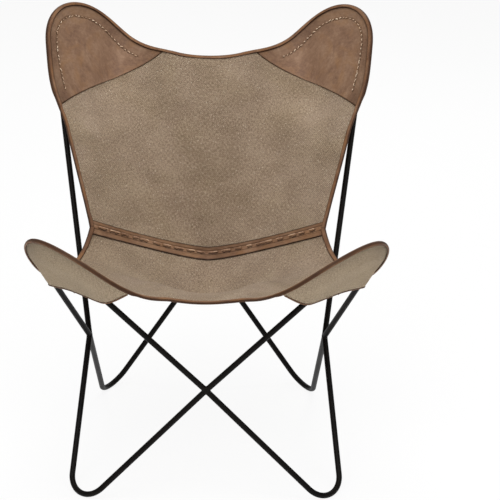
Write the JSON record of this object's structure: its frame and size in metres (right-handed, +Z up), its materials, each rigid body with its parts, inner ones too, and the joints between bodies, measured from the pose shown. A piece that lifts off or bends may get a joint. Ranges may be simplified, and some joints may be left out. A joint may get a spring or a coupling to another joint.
{
  "type": "butterfly sling chair",
  "caption": "Low lounge chair: a crossed bent-rod frame on four floor bends carries a canvas sling with leather corners and a leather waist band.",
  "frame": {"origin": "middle of the bounding box on the floor", "axes": "+Z up, the open front of the seat faces -Y, the sitter's left is +X"},
  "size_m": [0.7412, 0.7778, 0.8869],
  "materials": {
    "frame_rod": "black-brown satin powder coat",
    "canvas": "washed plain-weave cotton canvas",
    "pocket_canvas": "khaki plain-weave cotton canvas",
    "leather": "matt waxed brown leather",
    "binding": "dark brown folded edge leather",
    "thread": "waxed tan thread"
  },
  "bodies": {
    "root": {"left_front_ear_hoop": "frame_rod", "right_front_ear_hoop": "frame_rod", "left_rear_ear_hoop": "frame_rod", "right_rear_ear_hoop": "frame_rod", "left_front_foot_hoop": "frame_rod", "right_front_foot_hoop": "frame_rod", "left_rear_foot_hoop": "frame_rod", "right_rear_foot_hoop": "frame_rod", "front_cross_weld": "frame_rod", "rear_cross_weld": "frame_rod", "left_side_weld": "frame_rod", "right_side_weld": "frame_rod", "back_panel": "canvas", "seat_panel": "canvas", "back_edge_binding": "binding", "seat_edge_binding": "binding", "waist_band": "leather", "waist_band_thread": "thread", "left_top_corner_patch": "leather", "right_top_corner_patch": "leather", "left_top_corner_thread": "thread", "right_top_corner_thread": "thread", "left_rear_pocket": "pocket_canvas", "right_rear_pocket": "pocket_canvas", "left_rear_pocket_piping": "binding", "right_rear_pocket_piping": "binding", "left_front_pocket": "pocket_canvas", "right_front_pocket": "pocket_canvas", "left_front_pocket_piping": "binding", "right_front_pocket_piping": "binding"}
  },
  "joints": []
}
